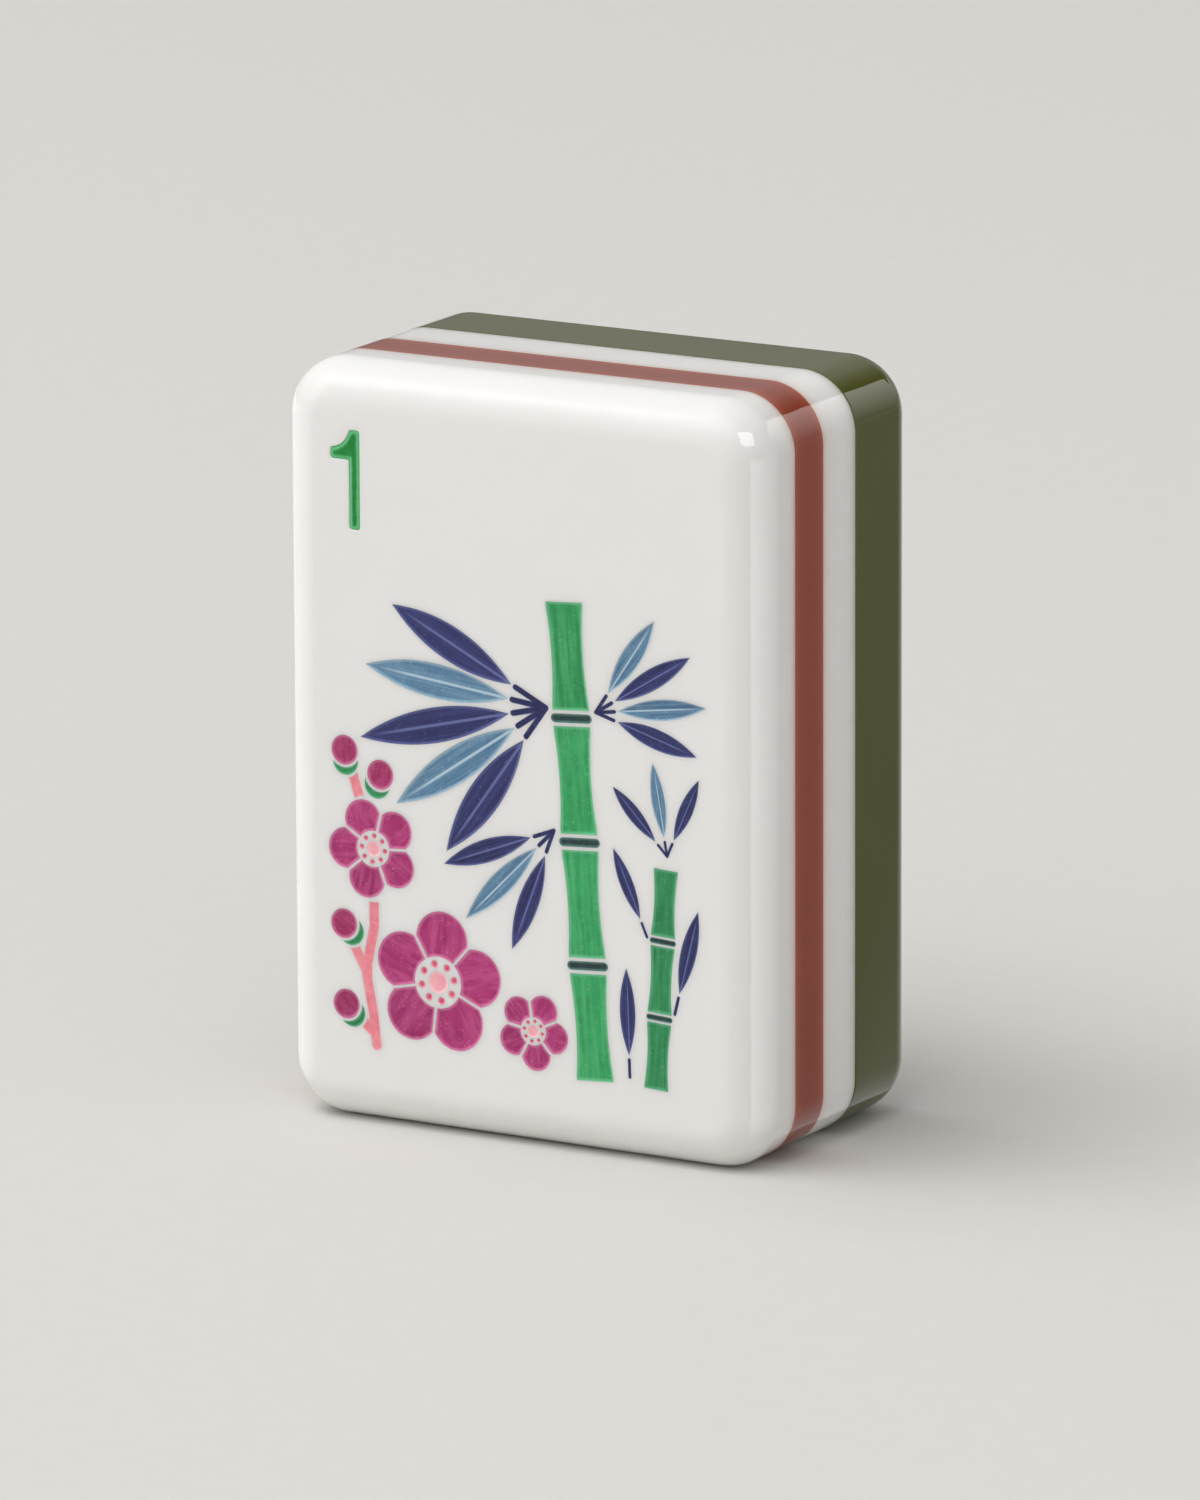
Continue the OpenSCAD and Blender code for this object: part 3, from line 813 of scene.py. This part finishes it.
# Front of the face block: flat land, a pocket with walls and floor under each enamel, the numeral's soft lip
def engraveFace(bm, ring):
    gap, lip = engraving["pocketGap"], numeral["lip"]
    outlines = [[(v.co.x, v.co.z) for v in ring], numeralOutline(lip[0][0])]
    outlines += pocketOutlines()
    twigFirst = len(outlines)
    outlines += [strokeOutline(start, end, half + gap) for start, end, half in twigStrokes()]
    discFirst = len(outlines)
    outlines += [ringOutline(x, z, radius - gap, engraving["discSteps"]) for x, z, radius in twigDiscs()]
    points, triangles, owners, origins = cutPlane(outlines)
    drops, strokes = set(range(2, twigFirst)), set(range(twigFirst, discFirst))
    discs = set(range(discFirst, len(outlines)))
    held = {i: k for i, sources in enumerate(origins) for k in sources if k < len(ring)}
    front = [ring[held[i]] if i in held else bm.verts.new((p.x, faceY, p.y)) for i, p in enumerate(points)]
    pocket = []
    for triangle, own in zip(triangles, owners):
        if own & drops or (own & strokes and not own & discs):
            pocket.append(triangle)
        elif 1 not in own:
            bm.faces.new([front[i] for i in triangle])
    sink = Vector((0, engraving["pocketDepth"], 0))
    floor = {i: bm.verts.new(front[i].co + sink) for i in {i for t in pocket for i in t}}
    edges = {(t[k - 1], t[k]) for t in pocket for k in range(3)}
    for triangle in pocket:
        bm.faces.new([floor[i] for i in triangle])
    for a, b in edges:
        if (b, a) not in edges:
            bm.faces.new((front[a], front[b], floor[b], floor[a]))
    source = {k: i for i, sources in enumerate(origins) for k in sources}
    outer = [front[source[len(ring) + k]] for k in range(len(outlines[1]))]
    for grow, depth in lip[1:] + [(lip[-1][0], engraving["pocketDepth"])]:
        inner = [bm.verts.new((x, faceY + depth, z)) for x, z in numeralOutline(grow)]
        for i in range(len(outer)):
            bm.faces.new((outer[i - 1], outer[i], inner[i], inner[i - 1]))
        outer = inner
    bm.faces.new(outer)
    bmesh.ops.delete(bm, geom=[v for v in bm.verts if not v.link_faces], context="VERTS")


# Each drop of the picture with the stamps that use it: drop outlines, then (drop, x, z, turn, along, across)
def picturePieces():
    return [
        (leafDrops, leafPlaces(0)), (leafDrops, leafPlaces(1)), (tallDrops, canePlaces("tall")),
        (shortDrops, canePlaces("short")), (ringDrops, ringPlaces()), (petalDrops, petalPlaces()),
        (heartDrops, heartPlaces()), (stamenDrops, stamenPlaces()), (budDrops, budPlaces()),
        (cupDrops, budPlaces())]


leafDrops = [leafOutline]
tallDrops = [lambda grow: jointOutline(canes["tall"], grow)]
shortDrops = [lambda grow: jointOutline(canes["short"], grow)]
ringDrops = [caneRingOutline]
petalDrops = [lambda grow, full=pictureWide * size: petalOutline(full, grow) for _, size, _ in blossoms]
heartDrops = [lambda grow: ringOutline(0, 0, bloomFull * blossom["heart"] + grow, blossom["heartSteps"])]
stamenDrops = [lambda grow: ringOutline(0, 0, bloomFull * blossom["stamen"] + grow, blossom["stamenSteps"])]
budDrops = [lambda grow: ringOutline(0, 0, budRadius + grow, bud["steps"])]
cupDrops = [cupOutline]


def leafPlaces(first):
    return [(0, *stamp) for stamp in leafStamps(first)]


def canePlaces(name):
    return [(0, *stamp) for stamp in caneStamps(canes[name], False)]


def ringPlaces():
    return [(0, *stamp) for name in canes for stamp in caneStamps(canes[name], True)]


def petalPlaces():
    return [(i, *stamp) for i, (place, _, turn) in enumerate(blossoms) for stamp in petalStamps(place, turn)]


def heartPlaces():
    return [(0, *stamp) for stamp in heartStamps()]


def stamenPlaces():
    return [(0, *stamp) for stamp in stamenStamps()]


def budPlaces():
    return [(0, *stamp) for stamp in budStamps()]


for node, (frontRound, rearRound, slot, finish) in layers.items():
    low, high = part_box(node)
    piece = runTree(node + "_body", sweep, {
        "Width": tile["width"], "Height": tile["height"], "Corner Radius": tile["cornerRadius"],
        "Front": low.y, "Depth": high.y - low.y, "Front Round": frontRound, "Rear Round": rearRound,
        "Margin": tile["margin"], "Corner Steps": tile["cornerSteps"], "Round Steps": tile["roundSteps"],
        "Material": plastics[finish]})
    bm = bmesh.new()
    bm.from_mesh(piece.data)
    frontRing, rearRing = endRing(bm, low.y), endRing(bm, high.y)
    bm.faces.new(rearRing[::-1])
    if node == "face_block":
        engraveFace(bm, frontRing)
    else:
        bm.faces.new(frontRing)
    bmesh.ops.recalc_face_normals(bm, faces=bm.faces)
    bm.to_mesh(piece.data)
    bm.free()
    smoothFaces(piece.data)
    seatPiece(piece, slot, node)
print("layers:", ", ".join(layers))


# Enamel

stamper = stampTree()
caneGreen = dict(deep=(22, 124, 66), pale=(44, 160, 92), fleck=(150, 214, 170), film=(112, 198, 146),
                 streak=(92, 186, 124), grain=(9, 1.6))
darkGreen = dict(deep=(16, 100, 56), pale=(32, 134, 78), fleck=(130, 200, 156), film=(96, 178, 132),
                 streak=(74, 162, 108), grain=(7, 1.6))
navy = dict(deep=(22, 25, 70), pale=(38, 42, 96), fleck=(110, 116, 170), film=(96, 104, 156),
            streak=(66, 72, 132), rib=(104, 112, 166), grain=(1.6, 12))
enamels = {
    "tall_cane_fill": dict(slot="cane_enamel", drops=tallDrops, stamps=canePlaces("tall"), look=caneGreen),
    "short_cane_fill": dict(
        slot="dark_cane_enamel", drops=shortDrops, stamps=canePlaces("short"), look=darkGreen),
    "cane_ring_fill": dict(
        slot="ring_enamel", drops=ringDrops, stamps=ringPlaces(), dish=0.8,
        look=dict(deep=(18, 44, 46), pale=(30, 66, 62), fleck=(90, 130, 124), film=(92, 134, 126))),
    "leaf_fill": dict(slot="navy_enamel", drops=leafDrops, stamps=leafPlaces(0), look=navy),
    "shade_leaf_fill": dict(
        slot="slate_enamel", drops=leafDrops, stamps=leafPlaces(1),
        look=dict(deep=(56, 94, 130), pale=(86, 126, 156), fleck=(190, 210, 222), film=(158, 188, 206),
                  streak=(132, 168, 190), rib=(184, 206, 218), grain=(1.6, 12))),
    "petal_fill": dict(
        slot="magenta_enamel", drops=petalDrops, stamps=petalPlaces(),
        look=dict(deep=(136, 22, 84), pale=(172, 44, 112), fleck=(232, 150, 186), film=(218, 128, 170),
                  streak=(206, 92, 146), grain=(1.3, 9))),
    "petal_heart_fill": dict(
        slot="pink_enamel", drops=heartDrops, stamps=heartPlaces(),
        look=dict(deep=(236, 152, 166), pale=(246, 182, 190), fleck=(255, 226, 226), film=(250, 210, 214))),
    "stamen_fill": dict(
        slot="rose_enamel", drops=stamenDrops, stamps=stamenPlaces(), dish=0.7,
        look=dict(deep=(200, 66, 100), pale=(220, 96, 126), fleck=(245, 180, 190), film=(240, 168, 182))),
    "bud_fill": dict(
        slot="plum_enamel", drops=budDrops, stamps=budPlaces(),
        look=dict(deep=(128, 18, 72), pale=(158, 38, 94), fleck=(222, 140, 176), film=(210, 120, 160),
                  streak=(188, 76, 126), grain=(1.4, 7))),
    "sepal_fill": dict(
        slot="dark_cane_enamel", drops=cupDrops, stamps=budPlaces(), dish=0.55, look=darkGreen),
}


def setPointValues(points, name, kind, values):
    field = "vector" if kind == "FLOAT_VECTOR" else "value"
    points.attributes.new(name, kind, "POINT").data.foreach_set(field, values)


for node, piece in enamels.items():
    dish, floor = piece.get("dish", 1), engraving["enamelFloor"]
    levels = engraving["levels"][:1] + [(grow * dish, depth) for grow, depth in engraving["levels"][1:]]
    drops = bpy.data.collections.new(node + "_drops")
    for i, outline in enumerate(piece["drops"]):
        mesh = dropMesh(f"{node}_drop{i}", outline, levels, floor)
        drops.objects.link(bpy.data.objects.new(mesh.name, mesh))
    stamps = piece["stamps"]
    points = bpy.data.meshes.new(node + "_points")
    points.from_pydata([(x, faceY, z) for _, x, z, _, _, _ in stamps], [], [])
    setPointValues(points, "kind", "INT", [s[0] for s in stamps])
    setPointValues(points, "turn", "FLOAT", [s[3] for s in stamps])
    setPointValues(points, "seed", "FLOAT", [i + 0.5 for i in range(len(stamps))])
    setPointValues(points, "stretch", "FLOAT_VECTOR", [value for s in stamps for value in (s[4], 1, s[5])])
    values = {"Drops": drops, "Material": enamel(node, piece["look"])}
    stamped = runTree(node + "_enamel", stamper, values, points)
    for drop in list(drops.objects):
        bpy.data.objects.remove(drop)
    bpy.data.collections.remove(drops)
    smoothFaces(stamped.data)
    seatPiece(stamped, piece["slot"], node)
print("stamped enamel:", ", ".join(enamels))


# Enamel that is no stamp: the numeral, the leaf stalks and the twigs
def addEnamel(node, mesh, slot, look):
    mesh.transform(Matrix.Translation((0, faceY, 0)))
    mesh.materials.append(enamel(node, look))
    smoothFaces(mesh)
    piece = bpy.data.objects.new(node + "_enamel", mesh)
    bpy.context.scene.collection.objects.link(piece)
    seatPiece(piece, slot, node)


numeralGreen = dict(deep=(0, 116, 42), pale=(12, 136, 58), fleck=(80, 180, 110), film=(92, 194, 124),
                    filmReach=(0.42, 0.86))
plainNavy = dict(deep=(22, 25, 70), pale=(38, 42, 96), fleck=(110, 116, 170), film=(84, 92, 146))
twigPink = dict(deep=(224, 116, 130), pale=(240, 150, 160), fleck=(252, 204, 204), film=(248, 190, 194))
levels, floor = engraving["strokeLevels"], engraving["enamelFloor"]
numeralMesh = dropMesh("numeral", numeralOutline, numeral["levels"], floor)
stalkMesh = strokeMesh("leafStalks", list(stalkStrokes()), [], levels, floor)
twigMesh = strokeMesh("twigs", list(twigStrokes()), list(twigDiscs()), levels, floor)
addEnamel("numeral_fill", numeralMesh, "numeral_enamel", numeralGreen)
addEnamel("leaf_stalk_fill", stalkMesh, "navy_enamel", plainNavy)
addEnamel("twig_fill", twigMesh, "twig_enamel", twigPink)
print("numeral, stalks and twigs")


# Stage and light

stageLook = dict(size=8, floor=paint(212, 210, 206), grain=paint(209, 207, 203), grainSize=1.2 * mm)
worldGlow = dict(around=0.51, backdrop=0.7)
tileMiddle = Vector((0, 0, tile["height"] / 2))


def addStage():
    material, tree, sockets, place = newMaterial("floorPaper", Specular_IOR_Level=0)
    grain = noise(tree, place, stageLook["grainSize"], 3)
    tree.links.new(blendColours(tree, grain, stageLook["floor"], stageLook["grain"]), sockets["Base Color"])
    half = stageLook["size"] / 2
    mesh = bpy.data.meshes.new("floor")
    corners = [(-half, -half, 0), (half, -half, 0), (half, half, 0), (-half, half, 0)]
    mesh.from_pydata(corners, [], [(0, 1, 2, 3)])
    mesh.materials.append(material)
    floorPiece = bpy.data.objects.new("floor", mesh)
    bpy.context.scene.collection.objects.link(floorPiece)
    floorPiece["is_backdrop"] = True


def fromTile(azimuth, elevation, distance):
    a, e = math.radians(azimuth), math.radians(elevation)
    return Vector((math.cos(a) * math.cos(e), math.sin(a) * math.cos(e), math.sin(e))) * distance


lights = {
    # azimuth from +X, elevation, distance, tilt, width, height, glow as reflections see it
    "key": (243, 51, 1.1, 51, 1.7, 0.76, 0.72),
}
fills = {
    # the same, for softboxes that reflections don't see
    "top": (265, 64, 1.2, 64, 1.0, 0.7, 1.55),
    "leftHigh": (196, 66, 1.2, 66, 0.8, 0.7, 2.3),
    "leftLow": (203, 10, 1.2, 10, 0.8, 0.3, 3.8),
    "rightLow": (320, 12, 1.2, 12, 0.9, 0.4, 1.3),
}
highlights = {
    # the same, for softboxes that only show in reflections
    "strip": (218.5, 36, 1.45, 0, 0.42, 1.62, 1.0),
    "window": (327, 35, 1.0, 35, 0.6, 0.45, 5.0),
}
skyCards = {
    # azimuths, elevations, distance, glow at the start and at the end of the azimuths or of the elevations
    "backFlag": dict(azimuths=(72, 97), elevations=(18, 44), distance=1.5, glows=(0, 0.52), rising=False),
    "rearCard": dict(azimuths=(106, 134), elevations=(-2, 26), distance=1.5, glows=(0.15, 0.5), rising=True),
    "sideCard": dict(azimuths=(45, 84), elevations=(0, 26.8), distance=1.6, glows=(0.35, 1.9), rising=True),
}
floorCards = {
    # corner of the tile that the card fans out from, reach, glow at each azimuth
    "leftCard": dict(side=-1, reach=0.5, glows=[(236, 0.7), (200, 1.6), (165, 1.4), (125, 0.68)]),
    "rightCard": dict(side=1, reach=0.5, glows=[
        (326, 2.4), (352, 1.8), (376, 1.1), (404, 0.6), (412, 0.2), (428, 0.2), (452, 0.66)]),
}
cardLook = dict(slices=24, lift=0.2 * mm)


def addLamp(name, azimuth, elevation, distance, tilt, wide, tall, glow):
    lamp = bpy.data.lights.new(name, "AREA")
    lamp.shape, lamp.size, lamp.size_y = "RECTANGLE", wide, tall
    lamp.energy = glow * halfTurn * wide * tall
    holder = bpy.data.objects.new(name, lamp)
    holder.location = tileMiddle + fromTile(azimuth, elevation, distance)
    holder.rotation_euler = fromTile(azimuth, tilt, 1).to_track_quat("Z", "Y").to_euler()
    bpy.context.scene.collection.objects.link(holder)
    return holder


# Card that only reflections see, in slices that each have their own glow
def addCard(name, slices, glows):
    material, tree, sockets, _ = newMaterial(name, Base_Color=(0, 0, 0, 1), Emission_Color=(1, 1, 1, 1))
    glow = addNode(tree, "ShaderNodeAttribute", attribute_name="glow").outputs["Fac"]
    tree.links.new(glow, sockets["Emission Strength"])
    mesh = bpy.data.meshes.new(name)
    points = [point for corners in slices for point in corners]
    mesh.from_pydata(points, [], [range(i, i + 4) for i in range(0, len(points), 4)])
    mesh.attributes.new("glow", "FLOAT", "FACE").data.foreach_set("value", glows)
    mesh.materials.append(material)
    card = bpy.data.objects.new(name, mesh)
    card.visible_camera = card.visible_diffuse = card.visible_shadow = card.visible_transmission = False
    bpy.context.scene.collection.objects.link(card)
    card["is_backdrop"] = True


def addSkyCard(name, azimuths, elevations, distance, glows, rising):
    count = cardLook["slices"]
    slices, values = [], []
    for i in range(count):
        shares = (i / count, (i + 1) / count)
        around, upward = azimuths, elevations
        if rising:
            upward = [elevations[0] + (elevations[1] - elevations[0]) * s for s in shares]
        else:
            around = [azimuths[0] + (azimuths[1] - azimuths[0]) * s for s in shares]
        ends = [(around[a], upward[u]) for a, u in ((0, 0), (1, 0), (1, 1), (0, 1))]
        slices.append([tileMiddle + fromTile(*end, distance) for end in ends])
        values.append(glows[0] + (glows[1] - glows[0]) * (i + 0.5) / count)
    addCard(name, slices, values)


# Card on the floor that fans out from a front corner of the tile
def addFloorCard(name, side, reach, glows):
    corner = Vector((side * tile["width"] / 2, faceY, cardLook["lift"]))
    count = cardLook["slices"]
    slices, values = [], []
    for (start, glow), (end, nextGlow) in zip(glows, glows[1:]):
        turns = [start + (end - start) * i / count for i in range(count + 1)]
        for i in range(count):
            far = [corner + fromTile(turn, 0, reach) for turn in turns[i:i + 2]]
            near = [corner + fromTile(turn, 0, mm) for turn in turns[i:i + 2]]
            slices.append([near[0], far[0], far[1], near[1]])
            values.append(glow + (nextGlow - glow) * (i + 0.5) / count)
    addCard(name, slices, values)


def addLights():
    for name, values in lights.items():
        addLamp(name, *values)
    for name, values in fills.items():
        addLamp(name, *values).visible_glossy = False
    for name, values in highlights.items():
        addLamp(name, *values).visible_diffuse = False
    for name, card in skyCards.items():
        addSkyCard(name, **card)
    for name, card in floorCards.items():
        addFloorCard(name, **card)


def addWorld():
    world = bpy.data.worlds.new("studio")
    world.use_nodes = True
    bpy.context.scene.world = world
    tree = world.node_tree
    background = next(n for n in tree.nodes if n.type == "BACKGROUND")
    background.inputs["Color"].default_value = (1, 1, 1, 1)
    seen = addNode(tree, "ShaderNodeLightPath").outputs["Is Camera Ray"]
    glow = remap(tree, seen, 0, 1, worldGlow["around"], worldGlow["backdrop"])
    tree.links.new(glow, background.inputs["Strength"])


view = dict(azimuth=30.034, elevation=13.158, roll=-0.236, distance=503.4 * mm, lens=312.93,
            aside=0.066 * mm, below=0.589 * mm, nearest=10 * mm)


def addCamera():
    azimuth, elevation, roll = (math.radians(view[k]) for k in ("azimuth", "elevation", "roll"))
    level = math.cos(elevation)
    back = Vector((math.sin(azimuth) * level, -math.cos(azimuth) * level, math.sin(elevation)))
    right = Vector((math.cos(azimuth), math.sin(azimuth), 0))
    turned = Matrix.Rotation(roll, 3, back)
    right, up = turned @ right, turned @ back.cross(right)
    camera = bpy.data.objects.new("camera", bpy.data.cameras.new("camera"))
    camera.data.lens = view["lens"]
    place = tileMiddle + back * view["distance"] + right * view["aside"] - up * view["below"]
    camera.matrix_world = Matrix.Translation(place) @ Matrix((right, up, back)).transposed().to_4x4()
    camera.data.clip_start = view["nearest"]
    bpy.context.scene.collection.objects.link(camera)
    bpy.context.scene.camera = camera


addStage()
addLights()
addWorld()
addCamera()
bpy.context.scene.view_settings.view_transform = "Standard"
print("stage, lights and camera")

low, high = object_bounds()
